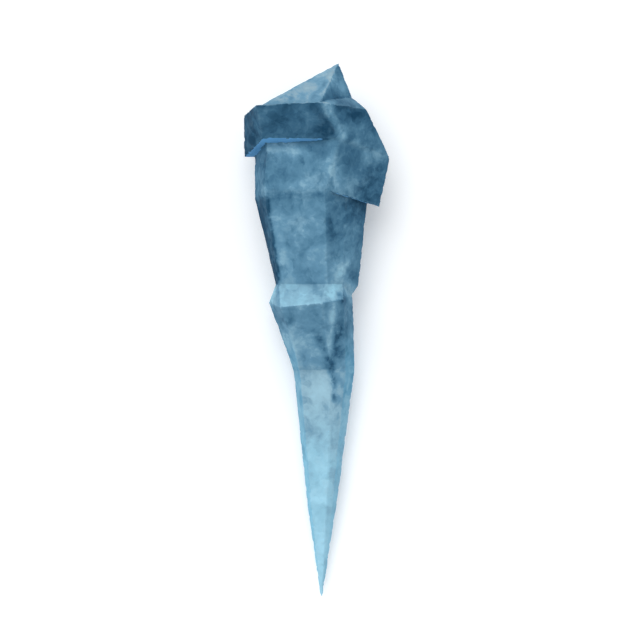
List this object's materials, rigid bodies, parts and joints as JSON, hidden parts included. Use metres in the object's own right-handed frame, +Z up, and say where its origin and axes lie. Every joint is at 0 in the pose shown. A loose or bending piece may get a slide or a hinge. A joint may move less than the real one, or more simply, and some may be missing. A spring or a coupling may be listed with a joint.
{
  "type": "icicle",
  "caption": "Stout faceted icicle lying on its back, with an overhanging root block, a flared ledge part way down and a long tapering tip.",
  "frame": {"origin": "under the middle of the bounding box, on the plane the icicle lies on", "axes": "+Y from the tip towards the broken root, +Z up from the surface it lies on, +X towards the shoulder slab"},
  "size_m": [0.147, 0.536, 0.126],
  "materials": {
    "ice": "cloudy, wet and lightly frosted natural ice, darker at the thick root and paler at the tip"
  },
  "bodies": {
    "root": {"icicle": "ice"}
  },
  "joints": []
}
